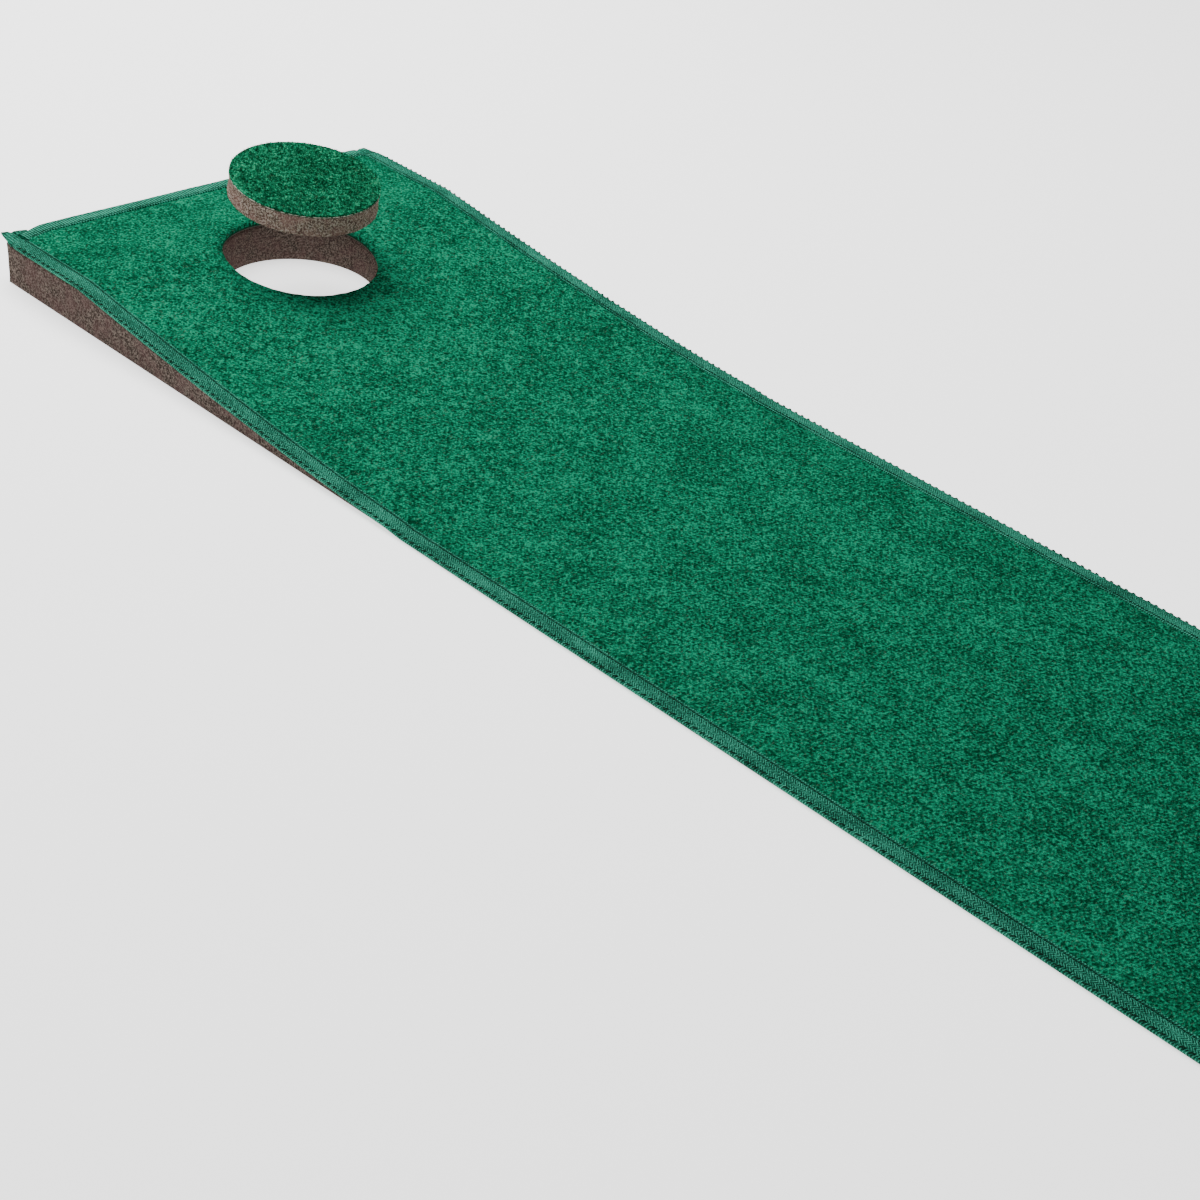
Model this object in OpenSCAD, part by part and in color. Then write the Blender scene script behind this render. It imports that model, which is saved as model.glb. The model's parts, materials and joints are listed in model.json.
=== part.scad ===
// Practice putting mat: a felt runner with bound edges, glued over a foam ramp with a cup hole,
// and the loose plug that closes the hole.
// The felt, its backing and the side tapes each run on without a joint from the ramp to the floor.
// Each is two nodes that meet face to face where the runner comes down to the floor.
// Origin: centre of the cup hole at floor level. +X runs to the tee end, +Z up.
// Left and right are the player's, who stands at the tee end and looks at the cup.

/* [Runner] */
// Width over the binding tapes
mat_w = 326; // [290:1:360]
// Length over the binding tapes
mat_len = 2438; // [1800:1:3000]
// Height of the felt's pile and body above the backing
felt_t = 2.85; // [2.5:0.05:5]
// Thickness of the rubbery backing coat
backing_t = 0.95; // [0.8:0.05:1.5]

/* [Binding] */
// Width of the tape that shows on top
tape_w = 13; // [10:0.5:16]
// Thickness of the tape
tape_t = 0.55; // [0.4:0.05:0.75]
// How far the stitches pull the felt down under the tape
pinch = 0.45; // [0.3:0.05:0.8]
// Width of a sewing thread
thread_w = 0.6; // [0.4:0.1:1]
// Height of a sewing thread
thread_h = 0.25; // [0.2:0.05:0.3]
// Distance of the seam from the tape's inner edge
seam_inset = 2; // [1.5:0.5:4]
// Height of the stitching that wraps the runner's edge
edge_stitch_h = 1.6; // [1:0.1:2.4]

/* [Ramp] */
// Height of the foam at the cup end
ramp_h = 28; // [24:0.5:40]
// Length of the foam
ramp_len = 400; // [360:5:480]
// Length of the level top at the cup end
level_len = 84; // [60:1:90]
// How hollow the slope is: 1 is straight
hollow = 1.42; // [1:0.02:1.6]
// Height of the foam's thin tip
tip_h = 1; // [0.8:0.1:2]
// How far the foam stands back from the tape's outer edge on each side
ramp_inset = 3; // [2:0.5:6]
// How far the runner hangs past the foam at the cup end
overhang = 11; // [8:0.5:16]
// Thickness of the glue film
glue_t = 0.3; // [0.2:0.05:0.4]

/* [Cup] */
// Diameter of the cup hole
cup_d = 108; // [104:0.5:110]
// Distance of the hole's centre from the foam's cup-end face
cup_setback = 115.5; // [110:0.5:130]

/* [Plug] */
// Diameter of the plug
plug_d = 104; // [100:0.5:105.5]
// Thickness of the plug's foam
plug_foam_t = 13.9; // [12:0.1:16]
// Thickness of the plug's turf backing
plug_backing_t = 0.6; // [0.4:0.1:1]
// Height of the plug's turf
plug_turf_t = 2.2; // [1.5:0.1:3]
// Height of the plug's middle above the floor while it is held over the hole
plug_z = 78; // [70:0.5:100]
// Lean of the plug, which lies along the slope when it is in the hole
plug_lean = 6.5; // [0:0.5:7]

/* [Corners] */
// How far the folded flap at the left cup corner sticks out past the tapes
left_flap = 3; // [1:0.5:5]
// How far the folded flap at the right cup corner sticks out past the tapes
right_flap = 1.5; // [1:0.5:5]

/* [Hidden] */
$fn = 96;
steps = 22; // straight stretches along the slope
foam_end = -cup_setback; // the foam's cup-end face
foam_tip = foam_end + ramp_len;
slope_start = foam_end + level_len;
drape = 14; // length over which the runner comes down off the foam's tip
cup_edge = foam_end - overhang; // the runner's cup end, over the tape
tee_edge = cup_edge + mat_len;
landing = foam_tip + drape; // where the runner meets the floor
ramp_part = [cup_edge, landing]; // the runner's two stretches
floor_part = [landing, tee_edge];
side = mat_w / 2; // a side tape's outer face
field = side - tape_w; // half the width of felt between the tapes
felt_top = backing_t + felt_t;
pinched = felt_top - pinch; // top of the felt under a tape
tape_top = pinched + tape_t;
flap_len = tape_w + 2; // a corner flap's length along the runner
side_start = cup_edge + flap_len; // where a side tape begins
seam_y = field + seam_inset;
bed_end_h = tip_h + glue_t;
plug_t = plug_foam_t + glue_t + plug_backing_t + plug_turf_t;
green = [0.05, 0.40, 0.27];
tape_green = [0.17, 0.46, 0.38];
thread_green = [0.06, 0.30, 0.22];
foam_brown = [0.40, 0.34, 0.32];
glue_tan = [0.75, 0.70, 0.58];
backing_grey = [0.62, 0.62, 0.58];

// Height of what the runner lies on: the glued foam, then the floor.
function bed(x) =
    x <= slope_start ? ramp_h + glue_t :
    x <= foam_tip ? bed_end_h + (ramp_h - tip_h)
        * pow((foam_tip - x) / (foam_tip - slope_start), hollow) :
    x <= landing ? bed_end_h * (1 - (x - foam_tip) / drape) : 0;

// The places where the profile bends between x0 and x1.
function bends(x0, x1) = [for (x = concat(
    [for (i = [0:steps]) slope_start + (foam_tip - slope_start) * i / steps],
    [landing])) if (x > x0 + 0.01 && x < x1 - 0.01) x];

function stations(x0, x1) = concat([x0], bends(x0, x1), [x1]);
function reversed(list) = [for (i = [len(list) - 1:-1:0]) list[i]];

// A layer between two heights above the bed, x0 to x1 along the runner and y0 to y1 across it.
module layer(low, high, x0, x1, y0, y1) {
    xs = stations(x0, x1);
    translate([0, y1, 0]) rotate([90, 0, 0]) linear_extrude(y1 - y0)
        polygon(concat([for (x = xs) [x, bed(x) + low]], [for (x = reversed(xs)) [x, bed(x) + high]]));
}

// A layer of the runner: full between the tapes, pinched under them.
module runner_layer(part, low, high, pinched_low, pinched_high) {
    difference() {
        union() {
            layer(low, high, max(part[0], cup_edge + tape_w), min(part[1], tee_edge - tape_w),
                -field, field);
            layer(pinched_low, pinched_high, max(part[0], cup_edge + tape_t),
                min(part[1], tee_edge - tape_t), -side + tape_t, side - tape_t);
        }
        cup_bore();
        for (s = [-1, 1]) translate([cup_edge - 1, s > 0 ? field : -side - 1, 0])
            cube([flap_len + 1, tape_w + 1, 2 * ramp_h]);
    }
}

module cup_bore() {
    translate([0, 0, -1]) cylinder(d = cup_d, h = 2 * ramp_h);
}

module foam_wedge() {
    color(foam_brown) difference() {
        translate([0, side - ramp_inset, 0]) rotate([90, 0, 0]) linear_extrude(mat_w - 2 * ramp_inset)
            polygon(concat([[foam_tip, 0], [foam_end, 0]],
                [for (x = stations(foam_end, foam_tip)) [x, bed(x) - glue_t]]));
        cup_bore();
    }
}

module wedge_glue_film() {
    color(glue_tan) difference() {
        layer(-glue_t, 0, foam_end, foam_tip, -side + ramp_inset, side - ramp_inset);
        cup_bore();
    }
}

module runner_backing(part) {
    color(backing_grey) runner_layer(part, 0, backing_t, tape_t, backing_t);
}

module felt_runner(part) {
    color(green) runner_layer(part, backing_t, felt_top, backing_t, pinched);
}

// A tape folded over the runner's side, with a groove for the bobbin thread. s is -1 on the left.
module side_tape(s, part) {
    color(tape_green) difference() {
        layer(0, tape_top, max(part[0], side_start), part[1],
            s > 0 ? field : -side, s > 0 ? side : -field);
        layer(tape_t, pinched, part[0] - 1, min(part[1] + 1, tee_edge - tape_t),
            s > 0 ? field - 1 : -side + tape_t, s > 0 ? side - tape_t : -field + 1);
        side_thread(s, 0);
    }
}

// A sewing thread along a side at a height above the bed.
module side_thread(s, low) {
    color(thread_green) layer(low, low + thread_h, side_start + seam_inset, tee_edge - seam_inset,
        s * seam_y - thread_w / 2, s * seam_y + thread_w / 2);
}

// A tape folded over an end. The end's outer edge is at x, and inward is +1 if the runner is towards +X.
module end_tape(x, inward) {
    inner = x + inward * tape_w;
    web = x + inward * tape_t;
    color(tape_green) difference() {
        layer(0, tape_top, min(x, inner), max(x, inner), -field, field);
        layer(tape_t, pinched, min(web, inner + inward), max(web, inner + inward), -field - 1, field + 1);
        end_thread(x, inward, 0);
    }
}

module end_thread(x, inward, low) {
    middle = x + inward * (tape_w - seam_inset);
    color(thread_green) layer(low, low + thread_h, middle - thread_w / 2, middle + thread_w / 2,
        -field + seam_inset, field - seam_inset);
}

// Overlocking thread wrapped along the lower edge of a side tape.
module edge_stitching(s) {
    color(thread_green) layer(0, edge_stitch_h, side_start + seam_inset, tee_edge - seam_inset,
        s > 0 ? side : -side - thread_h, s > 0 ? side + thread_h : -side);
}

// The tapes' spare ends, folded into a flat three-cornered bundle at a cup corner.
module corner_flap(s, out) {
    color(tape_green) translate([0, 0, bed(foam_end)]) linear_extrude(tape_top)
        polygon([[side_start, s * field], [cup_edge + tape_w / 2, s * field],
            [cup_edge - out, s * (side - 2)], [side_start, s * side]]);
}

// A disc of the plug, from low to low + t above the plug's bottom face.
module plug_disc(low, t) {
    translate([0, 0, plug_z]) rotate([0, plug_lean, 0]) translate([0, 0, low - plug_t / 2])
        cylinder(d = plug_d, h = t);
}

module plug_foam() {
    color(foam_brown) plug_disc(0, plug_foam_t);
}

module plug_glue_film() {
    color(glue_tan) plug_disc(plug_foam_t, glue_t);
}

module plug_backing() {
    color(backing_grey) plug_disc(plug_foam_t + glue_t, plug_backing_t);
}

module plug_turf() {
    color(green) plug_disc(plug_foam_t + glue_t + plug_backing_t, plug_turf_t);
}

foam_wedge();
wedge_glue_film();
runner_backing(ramp_part);  // backing_on_ramp
runner_backing(floor_part);  // backing_on_floor
felt_runner(ramp_part);  // felt_on_ramp
felt_runner(floor_part);  // felt_on_floor
side_tape(-1, ramp_part);  // left_tape_on_ramp
side_tape(-1, floor_part);  // left_tape_on_floor
side_tape(1, ramp_part);  // right_tape_on_ramp
side_tape(1, floor_part);  // right_tape_on_floor
end_tape(cup_edge, 1);  // cup_end_tape
end_tape(tee_edge, -1);  // tee_end_tape
side_thread(-1, tape_top);  // left_needle_thread
side_thread(1, tape_top);  // right_needle_thread
end_thread(cup_edge, 1, tape_top);  // cup_end_needle_thread
end_thread(tee_edge, -1, tape_top);  // tee_end_needle_thread
side_thread(-1, 0);  // left_bobbin_thread
side_thread(1, 0);  // right_bobbin_thread
end_thread(cup_edge, 1, 0);  // cup_end_bobbin_thread
end_thread(tee_edge, -1, 0);  // tee_end_bobbin_thread
edge_stitching(-1);  // left_edge_stitching
edge_stitching(1);  // right_edge_stitching
corner_flap(-1, left_flap);  // left_corner_flap
corner_flap(1, right_flap);  // right_corner_flap
plug_foam();
plug_glue_film();
plug_backing();
plug_turf();
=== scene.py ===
import json
import math
import random
import bmesh
import bpy
import numpy as np
from mathutils import Matrix, Vector, noise


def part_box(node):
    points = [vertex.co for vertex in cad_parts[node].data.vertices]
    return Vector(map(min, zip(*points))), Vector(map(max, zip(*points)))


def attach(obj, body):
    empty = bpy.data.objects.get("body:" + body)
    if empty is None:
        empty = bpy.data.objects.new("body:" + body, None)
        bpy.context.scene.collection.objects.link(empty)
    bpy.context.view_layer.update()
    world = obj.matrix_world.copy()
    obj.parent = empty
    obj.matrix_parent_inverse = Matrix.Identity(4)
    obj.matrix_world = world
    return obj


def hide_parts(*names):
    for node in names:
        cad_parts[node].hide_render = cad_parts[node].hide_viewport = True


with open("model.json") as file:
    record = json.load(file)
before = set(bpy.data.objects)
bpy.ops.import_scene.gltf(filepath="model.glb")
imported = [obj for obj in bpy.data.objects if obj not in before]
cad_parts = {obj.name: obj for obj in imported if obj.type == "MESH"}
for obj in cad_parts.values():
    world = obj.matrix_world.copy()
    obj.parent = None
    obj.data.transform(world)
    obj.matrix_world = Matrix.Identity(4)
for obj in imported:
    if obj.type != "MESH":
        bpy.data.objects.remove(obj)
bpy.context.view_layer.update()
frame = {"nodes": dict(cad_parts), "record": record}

mm = 0.001  # one millimetre in the scene's metres

# ---------------------------------------------------------------- Camera
# A long lens looks down on the cup end from the left and the tee end. It is rolled a little, so
# that the mat runs from the upper left to the lower right.
camera = bpy.data.objects.new("camera", bpy.data.cameras.new("camera"))
bpy.context.scene.collection.objects.link(camera)
bpy.context.scene.camera = camera
camera.data.lens = 73.87
camera.data.sensor_width = 36
azimuth, elevation, roll = (math.radians(a) for a in (41.58, 31.66, 7.35))
back = Vector((math.sin(azimuth) * math.cos(elevation), -math.cos(azimuth) * math.cos(elevation),
               math.sin(elevation)))
turn = (-back).to_track_quat("-Z", "Y").to_matrix().to_4x4() @ Matrix.Rotation(roll, 4, "Z")
camera.matrix_world = Matrix.Translation((1.2166, -1.0146, 0.7459)) @ turn

# ---------------------------------------------------------------- Ramp foam
# A wedge sliced from a block of brown closed-cell foam and bored through for the cup. It lies on
# the floor and carries the runner. Its cut faces are slightly uneven and show the cells.


def dye(red, green, blue):
    """A colour from 8-bit screen values, as the shader's linear RGBA."""
    linear = [c / 12.92 if c <= 0.04045 else ((c + 0.055) / 1.055) ** 2.4
              for c in (red / 255, green / 255, blue / 255)]
    return (*linear, 1)


class Wire:
    """One output socket of a finish. Arithmetic on it adds Math nodes."""

    def __init__(self, finish, socket):
        self.finish, self.socket = finish, socket

    def math(self, operation, *terms, first=None):
        terms = (self, *terms) if first is None else (first, self)
        return self.finish.node("ShaderNodeMath", {"operation": operation}, dict(enumerate(terms)))

    def __add__(self, other):
        return self.math("ADD", other)

    def __sub__(self, other):
        return self.math("SUBTRACT", other)

    def __rsub__(self, other):
        return self.math("SUBTRACT", first=other)

    def __mul__(self, other):
        return self.math("MULTIPLY", other)

    def __truediv__(self, other):
        return self.math("DIVIDE", other)

    __radd__ = __add__

    def clamped(self):
        return self.math("MAXIMUM", 0).math("MINIMUM", 1)

    def wave(self):
        """From 0 to 1 and back for each whole step of the value."""
        return (self * math.tau).math("SINE") * 0.5 + 0.5

    def fold(self):
        """A zigzag from 0 to 1 and back for each whole step of the value."""
        return (self * 2).math("PINGPONG", 1)


class Finish:
    """A material with one Principled shader, patterned on Object coordinates."""

    def __init__(self, name, roughness, gloss=0.0):
        self.material = bpy.data.materials.new(name)
        self.material.use_nodes = True
        self.tree = self.material.node_tree
        self.shader = self.tree.nodes["Principled BSDF"]
        self.shader.inputs["Roughness"].default_value = roughness
        self.shader.inputs["Specular IOR Level"].default_value = gloss
        self.place = self.node("ShaderNodeTexCoord", {}, {}, "Object")

    def node(self, kind, settings, sockets, output=0):
        made = self.tree.nodes.new(kind)
        for name, value in settings.items():
            setattr(made, name, value)
        for name, value in sockets.items():
            self.join(value, made.inputs[name])
        return Wire(self, made.outputs[output])

    def join(self, value, socket):
        if isinstance(value, Wire):
            self.tree.links.new(value.socket, socket)
        else:
            socket.default_value = value

    def along(self, axis):
        """The place along one axis, in metres."""
        return self.node("ShaderNodeSeparateXYZ", {}, {"Vector": self.place}, axis)

    def scaled(self, size, turned=0):
        """The place in units of a size, or of one size per axis, turned about Z by degrees."""
        sizes = size if isinstance(size, tuple) else (size,) * 3
        return self.node("ShaderNodeMapping", {"vector_type": "TEXTURE"}, {
            "Vector": self.place, "Rotation": (0, 0, math.radians(turned)), "Scale": sizes})

    def grain(self, size, detail=2, turned=0):
        """Noise around 0.5 whose blotches have the given size, in metres."""
        return self.node("ShaderNodeTexNoise", {}, {
            "Vector": self.scaled(size, turned), "Scale": 1, "Detail": detail}, "Fac")

    def cells(self, size):
        """Distance to the middle of round cells of the given size, in metres."""
        return self.node("ShaderNodeTexVoronoi", {}, {"Vector": self.scaled(size), "Scale": 1}, "Distance")

    def mixed(self, factor, first, second):
        return self.node("ShaderNodeMix", {"data_type": "RGBA"}, {0: factor, 6: first, 7: second}, 2)

    def shaded(self, tone, dark, middle, light):
        """Dark, middle and light colours as the tone goes from 0 through 0.5 to 1."""
        body = self.mixed((tone * 2).clamped(), dark, middle)
        return self.mixed((tone * 2 - 1).clamped(), body, light)

    def paint(self, colour):
        self.join(colour, self.shader.inputs["Base Color"])

    def relief(self, height, depth, strength=1.0):
        bump = self.node("ShaderNodeBump", {}, {
            "Height": height, "Distance": depth, "Strength": strength}, "Normal")
        self.join(bump, self.shader.inputs["Normal"])


def of_kind(geometry, kind):
    return [g for g in geometry if isinstance(g, kind)]


def laid_grid(x_lines, y_lines):
    """A flat grid of faces with its lines at the given places."""
    bm = bmesh.new()
    bmesh.ops.create_grid(bm, x_segments=len(x_lines) - 1, y_segments=len(y_lines) - 1, size=1)
    for v in bm.verts:
        v.co.x = x_lines[round((v.co.x + 1) / 2 * (len(x_lines) - 1))]
        v.co.y = y_lines[round((v.co.y + 1) / 2 * (len(y_lines) - 1))]
    return bm


def lines(low, high, step):
    """Evenly spaced places from low to high that take in every multiple of step between them."""
    inner = [i * step for i in range(math.ceil(low / step), math.floor(high / step) + 1)]
    return [low] + [x for x in inner if low + step / 4 < x < high - step / 4] + [high]


def cut_cup(bm, radius, half):
    """Opens the round cup hole inside the square of lines at half, with rings of faces round it."""
    inside = [f for f in bm.faces
              if max(abs(f.calc_center_median().x), abs(f.calc_center_median().y)) < half]
    bmesh.ops.delete(bm, geom=inside, context="FACES")
    loop = [e for e in bm.edges if e.is_boundary
            and all(max(abs(v.co.x), abs(v.co.y)) < half + mm for v in e.verts)]
    for rings_left in (5, 4, 3, 2, 1):
        grown = bmesh.ops.extrude_edge_only(bm, edges=loop)["geom"]
        loop = of_kind(grown, bmesh.types.BMEdge)
        for v in of_kind(grown, bmesh.types.BMVert):
            v.co.xy *= 1 + (radius / v.co.xy.length - 1) / rings_left


def piece(name, bm, finish):
    """An object at the origin from a bmesh, with smooth faces and one finish."""
    mesh = bpy.data.meshes.new(name)
    bm.to_mesh(mesh)
    bm.free()
    mesh.shade_smooth()
    made = bpy.data.objects.new(name, mesh)
    bpy.context.scene.collection.objects.link(made)
    made.data.materials.append(finish.material)
    return made


def rough(place, size, depth):
    """A smooth random height of about depth, with bumps of the given size."""
    return noise.noise(place / size) * depth


def eased(value, low, high):
    """0 below low, 1 above high, and a smooth step between."""
    t = min(max((value - low) / (high - low), 0), 1)
    return t * t * (3 - 2 * t)


grid_step = 5 * mm
film_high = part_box("wedge_glue_film")[1]
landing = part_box("felt_on_floor")[0].x
profile = {}
for v in frame["nodes"]["wedge_glue_film"].data.vertices:
    if abs(v.co.y) > film_high.y - mm:
        profile[round(v.co.x, 5)] = max(v.co.z, profile.get(round(v.co.x, 5), 0))
profile[landing] = 0.0
profile_x = sorted(profile)
profile_z = [profile[x] for x in profile_x]


def bed(x):
    """Height of what the runner lies on: the glued foam, then the floor."""
    return float(np.interp(x, profile_x, profile_z))


foam_low, foam_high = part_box("foam_wedge")
cup_radius = frame["record"]["mounts"][0]["dims"]["r_mm"] * mm
cup_half = 75 * mm  # half the square of faces that the cup's rings take the place of
film = film_high.z - foam_high.z
bm = laid_grid(lines(foam_low.x, foam_high.x, grid_step), lines(foam_low.y, foam_high.y, grid_step))
cut_cup(bm, cup_radius, cup_half)
for v in bm.verts:
    v.co.z = bed(v.co.x) - film
underside = bmesh.ops.extrude_face_region(bm, geom=bm.faces[:])["geom"]
for v in of_kind(underside, bmesh.types.BMVert):
    v.co.z = 0
bmesh.ops.reverse_faces(bm, faces=of_kind(underside, bmesh.types.BMFace))
uprights = [e for e in bm.edges
            if (e.verts[0].co - e.verts[1].co).xy.length < 0.1 * mm and e.calc_length() > 0.5 * mm]
bmesh.ops.subdivide_edges(bm, edges=uprights, cuts=7, use_grid_fill=True)
bmesh.ops.recalc_face_normals(bm, faces=bm.faces)
bm.normal_update()
lean_out = 3 * mm  # how far the cup end's face leans out at its top
flush = 0.2 * mm  # the top and underside stay flat
for v in bm.verts:
    flare = 1 - eased(v.co.x, foam_low.x, foam_low.x + 25 * mm)
    v.co.x -= lean_out * flare * (v.co.z / foam_high.z) ** 2
    if flush < v.co.z < bed(v.co.x) - film - flush:
        v.co += v.normal * (rough(v.co, 14 * mm, 0.35 * mm) + rough(v.co, 4 * mm, 0.15 * mm))


def foam_finish(name, dark, middle, light, tint):
    """Cut closed-cell foam: dark pits among paler cell walls, in drifting tints."""
    foam = Finish(name, roughness=0.9)
    pits = foam.cells(1.3 * mm)
    fine = foam.grain(1.1 * mm, detail=2)
    tone = 0.5 + (fine - 0.5) * 4 + (pits - 0.5) * 0.9
    drift = ((foam.grain(11 * mm) - 0.5) * 4 + 0.4).clamped()
    foam.paint(foam.mixed(drift * 0.45, foam.shaded(tone, dark, middle, light), tint))
    foam.relief(pits * 0.6 + fine, 1.1 * mm, 0.8)
    return foam


ramp_foam = foam_finish("ramp_foam", dye(50, 43, 39), dye(80, 70, 64), dye(110, 99, 91),
                        dye(90, 68, 66))
ramp = piece("ramp_foam_block", bm, ramp_foam)
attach(ramp, "mat")
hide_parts("foam_wedge")

# ---------------------------------------------------------------- Glue film
# A thin film of contact glue, brushed on the foam's top before the runner is laid on it. A
# second one holds the turf to the plug. Both are all but hidden and keep their plain shapes.
glue = Finish("contact_glue", roughness=0.45, gloss=0.4)
glue.paint(glue.mixed(glue.grain(6 * mm, detail=3), dye(58, 54, 44), dye(86, 80, 66)))
glue.relief(glue.grain(3 * mm, detail=3), 0.2 * mm)
for name in ("wedge_glue_film", "plug_glue_film"):
    film_slots = frame["nodes"][name].data.materials
    film_slots.clear()
    film_slots.append(glue.material)

# ---------------------------------------------------------------- Runner backing
# A coat of filled latex, knifed onto the felt's underside. It grips the floor and the glue, and is
# nipped thin under the tapes.
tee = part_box("tee_end_tape")
cup_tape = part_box("cup_end_tape")
left_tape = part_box("left_tape_on_floor")
side = -left_tape[0].y  # half the mat's width, over the tapes
field = -left_tape[1].y  # half the width of felt between the tapes
cup_edge, tee_edge = cup_tape[0].x, tee[1].x
tape_width = cup_tape[1].x - cup_tape[0].x
backing_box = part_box("backing_on_floor")
felt_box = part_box("felt_on_floor")
backing_thick = backing_box[1].z
felt_top = felt_box[1].z
tape_top = tee[1].z
edge_inset = 1.2 * mm  # from the tapes' outer faces to the runner's cut edge


def corner_pull(y):
    """How far the cup end's edge is drawn in towards a corner by the folded tapes."""
    deepest = 6.5 * mm if y < 0 else 3.5 * mm
    return deepest * eased(abs(y), field - 24 * mm, field + 1 * mm)


def runner_grid():
    """The runner's outline as a flat grid, with extra lines beside the tapes, the cup hole open
    and the corners under the flaps cut away."""
    across = lines(-field + 8 * mm, field - 8 * mm, grid_step)
    beside = [d * mm for d in (5.5, 3.5, 2, 1, 0)]
    rim = [field + edge_inset, side - edge_inset]
    across = ([-y for y in reversed(rim)] + [-field + d for d in reversed(beside)] + across
              + [field - d for d in beside] + rim)
    inner_end = cup_edge + tape_width
    lengthwise = lines(inner_end + 8 * mm, tee_edge - tape_width - 8 * mm, grid_step)
    lengthwise = ([cup_edge + edge_inset, cup_edge + 6 * mm] + [inner_end + d for d in reversed(beside)]
                  + lengthwise + [tee_edge - tape_width - d for d in beside]
                  + [tee_edge - 6 * mm, tee_edge - edge_inset])
    bm = laid_grid(lengthwise, across)
    cut_cup(bm, cup_radius, cup_half)
    corners = [f for f in bm.faces if abs(f.calc_center_median().y) > field
               and f.calc_center_median().x < cup_edge + tape_width + 3 * mm]
    bmesh.ops.delete(bm, geom=corners, context="FACES")
    for v in bm.verts:
        near_end = 1 - eased(v.co.x, cup_edge, cup_edge + 30 * mm)
        v.co.x += corner_pull(v.co.y) * near_end
    return bm


bm = runner_grid()
for v in bm.verts:
    v.co.z = bed(v.co.x) + backing_thick
backing = Finish("latex_backing", roughness=0.7)
backing.paint(backing.mixed(backing.grain(1.5 * mm, detail=3), dye(22, 52, 40), dye(40, 74, 58)))
backing.relief(backing.cells(2.5 * mm), 0.3 * mm)
coat = piece("latex_backing", bm, backing)
skin = coat.modifiers.new("thickness", "SOLIDIFY")
skin.thickness = backing_thick
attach(coat, "mat")
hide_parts("backing_on_ramp", "backing_on_floor")

# ---------------------------------------------------------------- Felt
# One long strip of needle-punched green carpet felt, the putting surface. Its raw edge shows at
# the cup hole, and it swells a little beside the tapes, whose seams pull it down.
bm = runner_grid()
pinch = felt_box[1].z - (tape_top - 0.55 * mm)
for v in bm.verts:
    edge = min(field - abs(v.co.y), v.co.x - cup_edge - tape_width, tee_edge - tape_width - v.co.x)
    swell = 1 - (1 - eased(edge, -1 * mm, 5 * mm)) * (pinch + 0.35 * mm) / mm
    rim = math.hypot(v.co.x, v.co.y) - cup_radius
    droop = 0.5 * mm * (1 - eased(rim, 0, 2.5 * mm))
    nap = rough(v.co, 16 * mm, 0.3 * mm) + rough(v.co, 5 * mm, 0.2 * mm)
    v.co.z = bed(v.co.x) + felt_top + (swell - 1) * mm + nap - droop
    if rim < 0.1 * mm:
        v.co.xy *= 1 + rough(v.co, 3 * mm, 0.5 * mm) / cup_radius


def felt_finish(name, dark, middle, light, fleck):
    """Matted fibres that lie every way: pale ones over dark gaps, with mottling and a few flecks."""
    felt = Finish(name, roughness=0.95)
    strands = [felt.grain((4.4 * mm, 1.4 * mm, 2 * mm), 1, angle) for angle in (15, 75, 135)]
    matted = (strands[0] + strands[1] + strands[2]) / 3
    fine = felt.grain(1.7 * mm, detail=2)
    mottle = felt.grain(9 * mm, detail=3)
    drift = felt.grain(45 * mm, detail=3)
    tone = 0.5 + (matted - 0.5) * 3.8 + (fine - 0.5) * 2.4 + (mottle - 0.5) * 0.9 + (drift - 0.5) * 0.6
    grey = ((felt.grain((2.6 * mm, 1 * mm, 2 * mm), 1, 100) - 0.6) * 9).clamped()
    felt.paint(felt.mixed(grey * 0.35, felt.shaded(tone, dark, middle, light), fleck))
    felt.relief(matted + fine, 2.2 * mm, 0.9)
    return felt


felt = felt_finish("green_felt", dye(0, 57, 36), dye(14, 94, 66), dye(30, 142, 105), dye(86, 116, 98))
mat = piece("felt_runner", bm, felt)
skin = mat.modifiers.new("thickness", "SOLIDIFY")
skin.thickness = felt_top - backing_thick
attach(mat, "mat")
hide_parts("felt_on_ramp", "felt_on_floor")

# ---------------------------------------------------------------- Binding tapes
# Woven twill tape, folded over the runner's cut edges and sewn through. The side tapes end in
# rounded tongues at the cup corners, and the edge stitches dent the fold at every stitch.
stitch = 5.5 * mm  # from one edge stitch to the next
fold_turns = 7  # faces round the folded edge
fold_round = 2.4 * mm  # how far the folded edge rounds off
bend = tape_width - fold_round
seam_in = 2.3 * mm  # from a tape's inner edge to its seam
tape_thick = 0.5 * mm
painted_light_shift_end = 0.45  # where a side tape's painted change of light, a change of tone past the ramp, is complete


def tape_section():
    """The tape's run across the edge, as (distance from the inner edge, height over the bed)."""
    middle, thick = tape_top / 2, tape_top / 2 - 0.1 * mm
    top = [(d * mm, middle + thick) for d in (0.3, 1.3, 2.3, 3.3, 5.5, 8)]
    fold = []
    for i in range(fold_turns + 1):
        angle = math.pi * (0.5 - i / fold_turns)
        fold.append((bend + fold_round * math.cos(angle), middle + thick * math.sin(angle)))
    bottom = [(6 * mm, middle - thick), (1 * mm, middle - thick)]
    return [(0, tape_top - 1.1 * mm)] + top + fold + bottom


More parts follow.
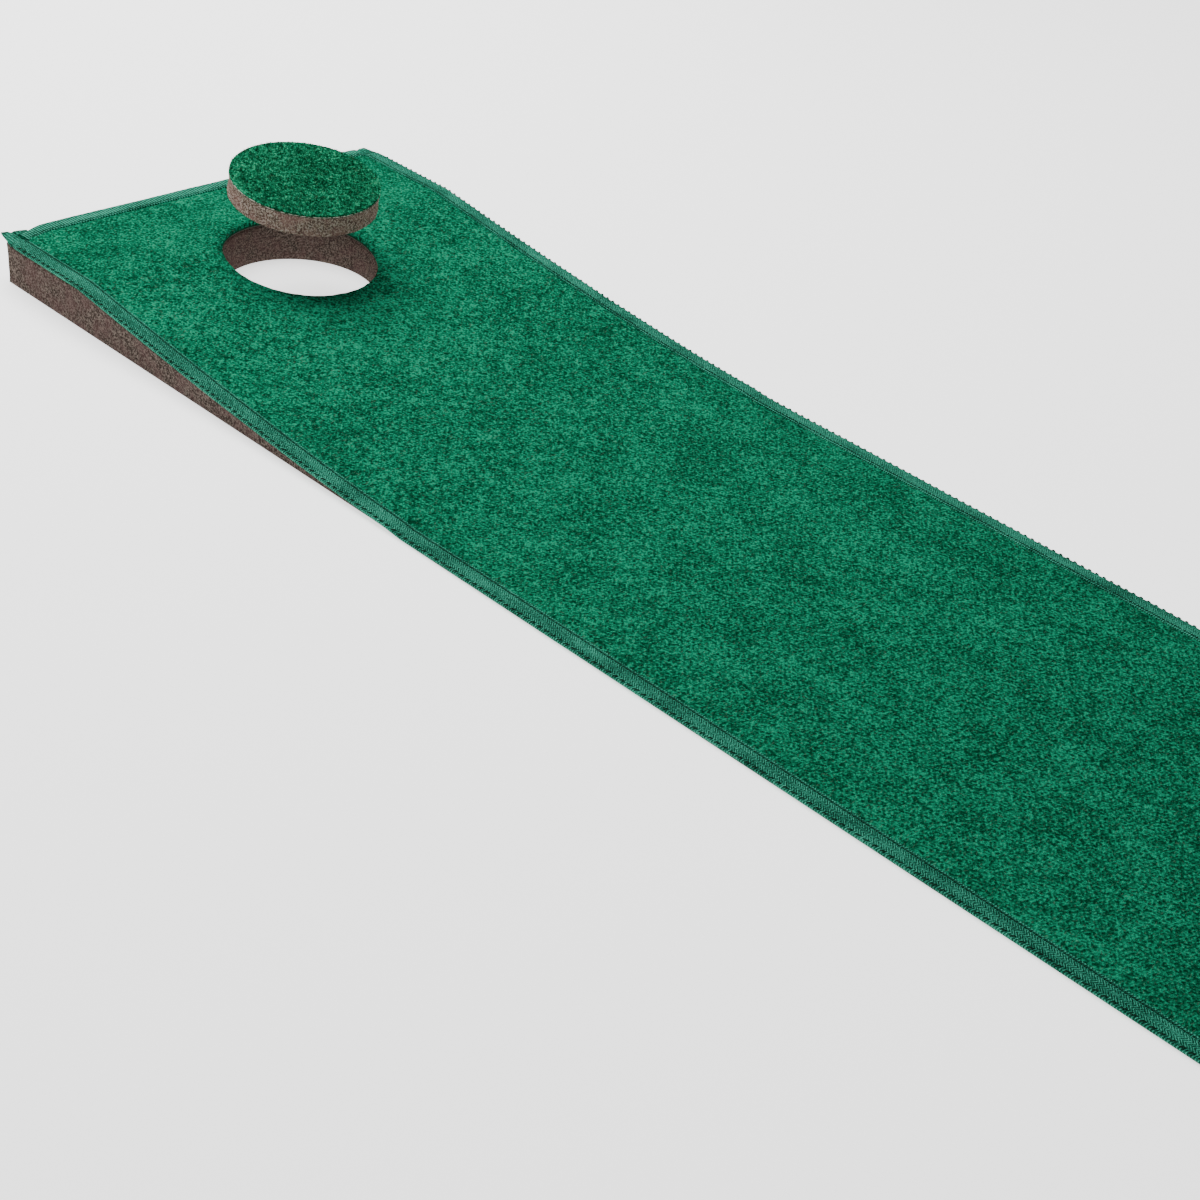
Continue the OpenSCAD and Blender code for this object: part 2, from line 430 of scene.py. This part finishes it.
def bound_edge(name, start, end, place, finish, tongue):
    """A tape along an edge. place turns (run along the edge, distance out from the tape's inner
    edge, height over the bed) to a point. The tape's start narrows to a tongue of that length."""
    section = tape_section()
    count = round((end - start) / (stitch / 4))
    bm = laid_grid([start + (end - start) * i / count for i in range(count + 1)],
                   list(range(len(section))))
    for v in bm.verts:
        run, index = v.co.x, round(v.co.y)
        out, height = section[index]
        swing = rough(Vector((run, 0, 0.3)), 45 * mm, 0.5 * mm)
        if height > tape_top * 0.6:
            height += rough(Vector((run, out, 0)), 7 * mm, 0.16 * mm)
            height -= 0.28 * mm * math.exp(-((out - seam_in) / (0.5 * mm)) ** 2)
            dent = max(0, math.cos(math.tau * run / stitch)) ** 2
            height -= 0.45 * mm * dent * math.exp(-((out - bend) / (1.1 * mm)) ** 2)
        if tongue and run - start < tongue:
            narrow = math.sqrt(max(0, 1 - (1 - (run - start) / tongue) ** 2))
            middle = tape_width * 0.52
            out = middle + (out - middle) * (0.25 + 0.75 * narrow)
            height = tape_top / 2 + (height - tape_top / 2) * (0.55 + 0.45 * narrow)
        v.co = place(run, out + swing * eased(out, 0, bend), height)
    bmesh.ops.recalc_face_normals(bm, faces=bm.faces)
    if sum(f.normal.z * f.calc_area() for f in bm.faces if f.calc_center_median().z
           > bed(f.calc_center_median().x) + tape_top * 0.7) < 0:
        bmesh.ops.reverse_faces(bm, faces=bm.faces)
    made = piece(name, bm, finish)
    skin = made.modifiers.new("thickness", "SOLIDIFY")
    skin.thickness = tape_thick
    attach(made, "mat")
    return made


def tape_finish(name, run, across, pitch, seam_line, paleness, painted_light_shift, ribbed):
    """Ribbed tape: a pale rib and a dark gap in turn, slanting in zigzag columns on the side
    tapes. ribbed is the ribs' contrast. The tone shifts along the ramp by the given amount, a painted
    change of light. seam_line is the inner edge's place across, where the seam raises two pale ridges with
    a painted shade line between them. A corner flap has none."""
    tape = Finish(name, roughness=0.75, gloss=0.06)
    zigzag = run == "X"
    slant = (tape.along(across) / (5.2 * mm)).fold() * (2.6 * mm) if zigzag else 0
    rib = ((tape.along(run) + slant) / pitch).wave()
    yarn = tape.grain(1.2 * mm, detail=2)
    worn = tape.grain((30 * mm, 9 * mm, 9 * mm), 2, 0 if zigzag else 90)
    tone = paleness + (rib - 0.5) * ribbed + (yarn - 0.5) * 2.4 + (worn - 0.5) * 1.4
    # Painted light: the side tapes' tone shifts along the ramp, as if they were lit differently past it.
    if painted_light_shift:
        tone = tone + (tape.along("X") / painted_light_shift_end).clamped() * painted_light_shift
    # Painted shade: a dark line along the seam's groove, between two paler bands.
    if seam_line is not None:
        depth = (tape.along(across).math("ABSOLUTE") - abs(seam_line)).math("ABSOLUTE")
        edge = depth.math("LESS_THAN", 3.6 * mm)
        tone = tone + edge * (0.2 - ((depth - 1.2 * mm) / (2.2 * mm)).wave() * 0.75)
    tape.paint(tape.shaded(tone, dye(4, 58, 42), dye(22, 108, 84), dye(62, 158, 130)))
    tape.relief(rib + yarn, 0.8 * mm, 0.8)
    return tape


# -0.02 and 0.08 are the side tapes' painted changes of light along the ramp.
side_twill = {"left": tape_finish("left_tape_twill", "X", "Y", 1.7 * mm, field, 0.52, -0.02, 0.9),
              "right": tape_finish("right_tape_twill", "X", "Y", 1.7 * mm, field, 0.5, 0.08, 0.9)}
end_twill = tape_finish("cup_tape_rib", "Y", "X", 2.2 * mm, cup_edge + tape_width, 0.54, 0, 1.3)
tee_twill = tape_finish("tee_tape_rib", "Y", "X", 2.2 * mm, tee_edge - tape_width, 0.5, 0, 1.3)
side_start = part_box("left_tape_on_ramp")[0].x


def along_left(run, out, height):
    return Vector((run, -field - out, bed(run) + height))


def along_right(run, out, height):
    return Vector((run, field + out, bed(run) + height))


def across_cup_end(run, out, height):
    return Vector((cup_edge + tape_width - out + corner_pull(run), run, bed(cup_edge) + height))


def across_tee_end(run, out, height):
    return Vector((tee_edge - tape_width + out, run, height))


for name, place, tongue in (("left", along_left, 9 * mm), ("right", along_right, 3 * mm)):
    tape = bound_edge(f"{name}_side_binding", side_start, tee_edge, place, side_twill[name], tongue)
    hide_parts(f"{name}_tape_on_ramp", f"{name}_tape_on_floor")
tape = bound_edge("cup_end_binding", -field, field, across_cup_end, end_twill, 0)
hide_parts("cup_end_tape")
tape = bound_edge("tee_end_binding", -field, field, across_tee_end, tee_twill, 0)
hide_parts("tee_end_tape")

# ---------------------------------------------------------------- Seams
# A straight lockstitch holds each tape's inner edge: needle thread above, bobbin thread below.
# Every stitch is a short bead of dark green polyester thread that sinks into the tape at its ends.
seam_stitch = 3 * mm


def thread_finish(name, dark, light):
    """Twisted polyester thread."""
    thread = Finish(name, roughness=0.6, gloss=0.08)
    twist = ((thread.along("X") + thread.along("Y")) / (0.5 * mm)).wave()
    thread.paint(thread.mixed(twist * 0.6 + thread.grain(2 * mm) * 0.4, dark, light))
    thread.relief(twist, 0.15 * mm)
    return thread


def bead(long, wide, deep):
    """One stitch: a round-ended bead along X."""
    bm = bmesh.new()
    bmesh.ops.create_uvsphere(bm, u_segments=6, v_segments=5, radius=0.5)
    bmesh.ops.rotate(bm, verts=bm.verts, matrix=Matrix.Rotation(math.pi / 2, 3, "Y"))
    bmesh.ops.scale(bm, verts=bm.verts, vec=(long, wide, deep))
    mesh = bpy.data.meshes.new("bead")
    bm.to_mesh(mesh)
    bm.free()
    return mesh


def row(name, shape, places, finish):
    """Copies of a shape in one piece, each set by its own matrix."""
    bm = bmesh.new()
    for matrix in places:
        copy = shape.copy()
        copy.transform(matrix)
        bm.from_mesh(copy)
        bpy.data.meshes.remove(copy)
    return piece(name, bm, finish)


def spaced(start, end, step):
    count = round((end - start) / step)
    return [start + (end - start) * (i + 0.5) / count for i in range(count)]


def slope_turn(x):
    """The turn about Y that lays something along the runner at x."""
    return Matrix.Rotation(math.atan2(bed(x) - bed(x + mm), mm), 4, "Y")


seam = field + seam_in
seam_heights = (("needle", tape_top - 0.12 * mm), ("bobbin", 0.3 * mm))
seam_thread = thread_finish("seam_thread", dye(2, 36, 24), dye(14, 76, 54))
stitch_bead = bead(seam_stitch * 0.86, 0.75 * mm, 0.6 * mm)
for name, sign in (("left", -1), ("right", 1)):
    for kind, height in seam_heights:
        places = [Matrix.Translation((x, sign * seam, bed(x) + height)) @ slope_turn(x)
                  for x in spaced(side_start + 3 * mm, tee_edge - 3 * mm, seam_stitch)]
        made = row(f"{name}_{kind}_stitches", stitch_bead, places, seam_thread)
        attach(made, "mat")
        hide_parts(f"{name}_{kind}_thread")
quarter = Matrix.Rotation(math.pi / 2, 4, "Z")
end_seams = (("cup", cup_edge + tape_width - seam_in, 1), ("tee", tee_edge - tape_width + seam_in, 0))
for name, x, pull in end_seams:
    for kind, height in seam_heights:
        places = [Matrix.Translation((x + pull * corner_pull(y), y, bed(x) + height)) @ quarter
                  for y in spaced(-field + 3 * mm, field - 3 * mm, seam_stitch)]
        made = row(f"{name}_end_{kind}_stitches", stitch_bead, places, seam_thread)
        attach(made, "mat")
        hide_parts(f"{name}_end_{kind}_thread")

# ---------------------------------------------------------------- Edge stitching
# A blanket stitch runs along each side's folded edge. Each stitch slants over the fold and pulls
# a small dark dimple into the tape.
edge_bead = bead(4.2 * mm, 2 * mm, 0.9 * mm)
edge_thread = thread_finish("edge_thread", dye(2, 34, 22), dye(10, 60, 42))
first, last = math.ceil((side_start + 9 * mm) / stitch), math.floor((tee_edge - 4 * mm) / stitch)
for name, sign, inward, sunk in (("left", -1, 1 * mm, 0.45 * mm), ("right", 1, 0.5 * mm, 1.1 * mm)):
    slant = Matrix.Rotation(sign * math.radians(-28), 4, "Z")
    tilt = slant @ Matrix.Rotation(sign * math.radians(38), 4, "X")
    places = []
    for i in range(first, last):
        x = i * stitch
        spot = Vector((x, sign * (side - inward), bed(x) + tape_top - sunk))
        places.append(Matrix.Translation(spot) @ slope_turn(x) @ tilt)
    made = row(f"{name}_edge_stitches", edge_bead, places, edge_thread)
    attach(made, "mat")
    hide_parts(f"{name}_edge_stitching")

# ---------------------------------------------------------------- Corner flaps
# At each cup corner the tapes' spare ends are folded over each other into a three-cornered flap,
# whose creased point sticks out past the foam.


def corner_fold(name, sign, corners):
    """A creased flap between four corners, each (x, distance from the middle line, height over the
    bed): the felt's corner, the end tape's outer edge, the flap's point and the foam's corner."""
    felt_end, tape_end, point, foam_end = (Vector(c) for c in corners)
    shares = [i / 20 for i in range(21)]
    bm = laid_grid(shares, shares)
    for v in bm.verts:
        u, w = v.co.x, v.co.y
        spot = felt_end.lerp(tape_end, u).lerp(foam_end.lerp(point, u), w)
        off_crease = w - 0.35 * (1 - u) ** 2 - 0.62 * u  # the crease curves across the flap
        spot.z += 0.7 * mm * math.exp(-((off_crease + 0.22) / 0.16) ** 2) * (1 - u)
        spot.z -= 1.1 * mm * math.exp(-(off_crease / 0.07) ** 2)
        spot.z += rough(Vector((spot.x, spot.y, 0.1)), 7 * mm, 0.25 * mm)
        v.co = Vector((spot.x, sign * spot.y, bed(cup_edge) + spot.z))
    bmesh.ops.recalc_face_normals(bm, faces=bm.faces)
    if bm.faces[:][0].normal.z < 0:
        bmesh.ops.reverse_faces(bm, faces=bm.faces)
    made = piece(f"{name}_fold", bm, flap_twill)
    skin = made.modifiers.new("thickness", "SOLIDIFY")
    skin.thickness = 1.2 * mm
    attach(made, "mat")
    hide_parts(f"{name}_flap")


flap_twill = tape_finish("corner_flap_rib", "Y", "X", 2.2 * mm, None, 0.28, 0, 0.6)
corner_fold("left_corner", -1, (
    (side_start + 1 * mm, field - 4 * mm, 3.2 * mm), (cup_edge + 4 * mm, field - 9 * mm, 3.4 * mm),
    (cup_edge - 2.6 * mm, side - 5.5 * mm, 2.6 * mm), (side_start + 1 * mm, side - 1.2 * mm, 0.9 * mm)))
corner_fold("right_corner", 1, (
    (side_start + 1 * mm, field - 4 * mm, 3.4 * mm), (cup_edge + 3 * mm, field - 9 * mm, 3.3 * mm),
    (cup_edge + 4 * mm, side - 4 * mm, 3.2 * mm), (side_start + 1 * mm, side - 1.2 * mm, 3 * mm)))

# ---------------------------------------------------------------- Plug foam
# A disc stamped from a paler, coarser foam than the ramp's. It closes the cup hole, and here it is
# held over it. The stamp leaves a slightly waisted, grainy side.
plug_low, plug_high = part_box("plug_foam")
plug_radius = (plug_high.y - plug_low.y) / 2


def disc_ends(node):
    """The centres of a plug layer's lower and upper faces."""
    points = np.array([v.co for v in frame["nodes"][node].data.vertices])
    thin_way = np.linalg.svd(points - points.mean(0))[2][2]
    up = thin_way * np.sign(thin_way[2])
    half = np.ptp(points @ up) / 2
    middle = (points.min(0) + points.max(0)) / 2
    return Vector(middle - up * half), Vector(middle + up * half)


foam_foot, foam_head = disc_ends("plug_foam")
plug_up = (foam_head - foam_foot).normalized()
plug_turn = Vector((0, 0, 1)).rotation_difference(plug_up).to_matrix().to_4x4()
plug_thick = (foam_head - foam_foot).length


def round_slab(radius, thick, rings, sides, round_off):
    """A disc from z 0 to thick, with its wall in rings and its rims rounded."""
    bm = bmesh.new()
    bmesh.ops.create_cone(bm, cap_ends=True, segments=sides, radius1=radius, radius2=radius, depth=thick)
    bmesh.ops.translate(bm, verts=bm.verts, vec=(0, 0, thick / 2))
    caps = [f for f in bm.faces if len(f.verts) > 4]
    rims = [e for f in caps for e in f.edges]
    bmesh.ops.bevel(bm, geom=rims, offset=round_off, offset_type="OFFSET", segments=3, profile=0.5,
                    affect="EDGES", material=-1)
    walls = [e for e in bm.edges if (e.verts[0].co - e.verts[1].co).xy.length < mm / 1000]
    bmesh.ops.subdivide_edges(bm, edges=walls, cuts=rings, use_grid_fill=True)
    for inset in (12 * mm, 20 * mm, 12 * mm):
        caps = [f for f in bm.faces if len(f.verts) > 4]
        bmesh.ops.inset_region(bm, faces=caps, thickness=inset)
    return bm


bm = round_slab(plug_radius, plug_thick, 6, 120, 0.6 * mm)
bm.normal_update()
for v in bm.verts:
    reach = math.hypot(v.co.x, v.co.y)
    if reach > plug_radius - mm:
        waist = 0.5 * mm * math.sin(math.pi * v.co.z / plug_thick)
        grow = rough(v.co, 9 * mm, 0.3 * mm) + rough(v.co, 3 * mm, 0.25 * mm) - waist - 0.15 * mm
        v.co.xy *= 1 + grow / reach
bmesh.ops.transform(bm, matrix=Matrix.Translation(foam_foot) @ plug_turn, verts=bm.verts)
plug_foam = foam_finish("plug_foam", dye(84, 68, 62), dye(132, 112, 100), dye(182, 166, 154),
                        dye(150, 112, 106))
disc = piece("plug_foam_disc", bm, plug_foam)
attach(disc, "plug")
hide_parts("plug_foam")

# ---------------------------------------------------------------- Plug turf
# A disc of dense short turf on a pale woven backing, glued to the foam. The backing's cut threads
# show as a broken pale line round the rim, and the pile is a mass of fine blades.
back_foot, back_head = disc_ends("plug_backing")
bm = round_slab(plug_radius - 0.1 * mm, (back_head - back_foot).length, 1, 180, 0.15 * mm)
for v in bm.verts:
    reach = math.hypot(v.co.x, v.co.y)
    if reach > plug_radius - mm:
        v.co.xy *= 1 + rough(v.co, 1.6 * mm, 0.5 * mm) / reach
bmesh.ops.transform(bm, matrix=Matrix.Translation(back_foot) @ plug_turn, verts=bm.verts)
scrim = Finish("pale_scrim", roughness=0.8)
scrim.paint(scrim.mixed(((scrim.grain(2 * mm, detail=1) - 0.5) * 12 + 0.5).clamped(), dye(70, 84, 66),
                         dye(206, 206, 190)))
scrim.relief(scrim.grain(0.8 * mm, detail=3), 0.3 * mm)
weave = piece("plug_scrim", bm, scrim)
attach(weave, "plug")
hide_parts("plug_backing")

turf_foot, turf_head = disc_ends("plug_turf")
turf_thick = (turf_head - turf_foot).length
turf = felt_finish("plug_turf", dye(2, 60, 36), dye(18, 98, 66), dye(48, 156, 112), dye(96, 160, 122))
bm = round_slab(plug_radius, turf_thick * 0.6, 1, 120, 0.4 * mm)
bmesh.ops.transform(bm, matrix=Matrix.Translation(turf_foot) @ plug_turn, verts=bm.verts)
sod = piece("plug_turf_bed", bm, turf)
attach(sod, "plug")
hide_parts("plug_turf")

blade_draw = random.Random(11)
blade_count = 9000
bm = bmesh.new()
bmesh.ops.create_cone(bm, cap_ends=False, segments=3, radius1=0.34 * mm, radius2=0.1 * mm, depth=1.5 * mm)
bmesh.ops.translate(bm, verts=bm.verts, vec=(0, 0, 0.75 * mm))
blade = bpy.data.meshes.new("blade")
bm.to_mesh(blade)
bm.free()
places = []
stand = Matrix.Translation(turf_foot) @ plug_turn
for _ in range(blade_count):
    reach, angle = (plug_radius - 0.3 * mm) * math.sqrt(blade_draw.random()), math.tau * blade_draw.random()
    lean = Matrix.Rotation(math.radians(blade_draw.uniform(10, 62)), 4, "Y")
    spin = Matrix.Rotation(math.tau * blade_draw.random(), 4, "Z")
    tall = Matrix.Scale(blade_draw.uniform(0.7, 1.0), 4)
    root = Matrix.Translation((reach * math.cos(angle), reach * math.sin(angle), turf_thick * 0.5))
    places.append(stand @ root @ spin @ lean @ tall)
pile = row("plug_turf_blades", blade, places, turf)
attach(pile, "plug")
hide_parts("plug_turf")

# ---------------------------------------------------------------- Floor and lights
# A plain white studio floor, wide enough to fill the view from low angles, with broad soft
# lights. The strongest shines from behind the cup end, so the mat darkens towards the tee.
floor_finish = Finish("studio_floor", roughness=0.9)
floor_finish.paint(dye(246, 246, 246))
floor_finish.shader.inputs["Emission Color"].default_value = (1, 1, 1, 1)
floor_finish.shader.inputs["Emission Strength"].default_value = 1.4
bm = bmesh.new()
floor_half = 90
bmesh.ops.create_grid(bm, x_segments=1, y_segments=1, size=floor_half)
floor = piece("floor", bm, floor_finish)


def softbox(name, place, aim, size, watts):
    lamp = bpy.data.lights.new(name, "AREA")
    lamp.energy, lamp.size = watts, size
    made = bpy.data.objects.new(name, lamp)
    bpy.context.scene.collection.objects.link(made)
    made.location = place
    made.rotation_euler = (Vector(aim) - Vector(place)).to_track_quat("-Z", "Y").to_euler()


softbox("key", (-0.8, 0.15, 1.6), (0.05, 0, 0), 1.4, 62)
softbox("fill", (0.1, -2.2, 2.2), (0, 0, 0), 2.4, 11)
softbox("overhead", (0, 0, 2.4), (0, 0, 0), 1.8, 8)
world = bpy.data.worlds.new("studio")
bpy.context.scene.world = world
world.use_nodes = True
world.node_tree.nodes["Background"].inputs["Color"].default_value = (1, 1, 1, 1)
world.node_tree.nodes["Background"].inputs["Strength"].default_value = 0.22
